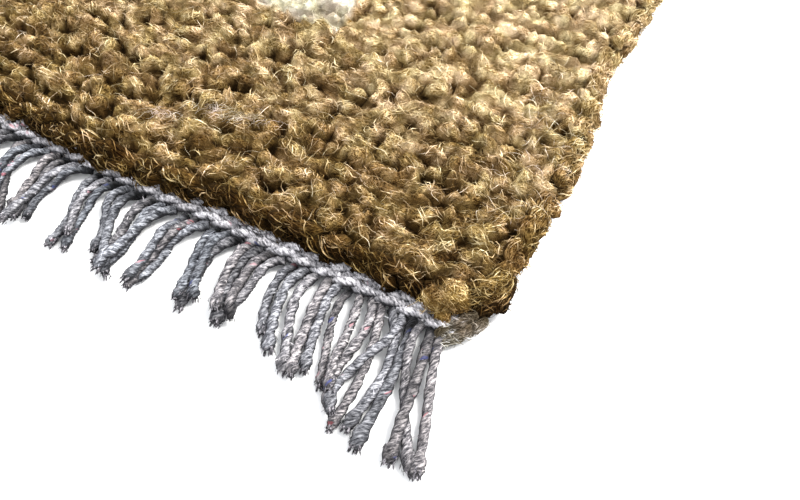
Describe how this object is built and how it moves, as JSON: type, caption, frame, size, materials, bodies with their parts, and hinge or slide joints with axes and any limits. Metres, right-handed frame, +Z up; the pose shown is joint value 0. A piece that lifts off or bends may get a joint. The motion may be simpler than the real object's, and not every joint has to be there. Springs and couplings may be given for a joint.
{
  "type": "shaggy rug with fringe",
  "caption": "Small rectangular hand-knotted wool rug with a deep shaggy pile, a pale plain centre panel, a twined heading and a corded fringe at both ends.",
  "frame": {"origin": "on the floor under the middle of the rug, fringes included", "axes": "+Z up, +Y along the rug's length from one fringe to the other, +X across its width, all in the row's metres"},
  "size_m": [0.6106, 1.0423, 0.0215],
  "materials": {
    "pile": "olive-brown cut wool pile in fuzzy locks, with a cream panel",
    "ground": "grey woven cotton ground, fuzzy",
    "cotton": "mottled grey twisted cotton cords with pale and coloured flecks"
  },
  "bodies": {
    "root": {"ground_weave": "ground", "pile": "pile", "fringe_front": "cotton", "fringe_back": "cotton"}
  },
  "joints": []
}
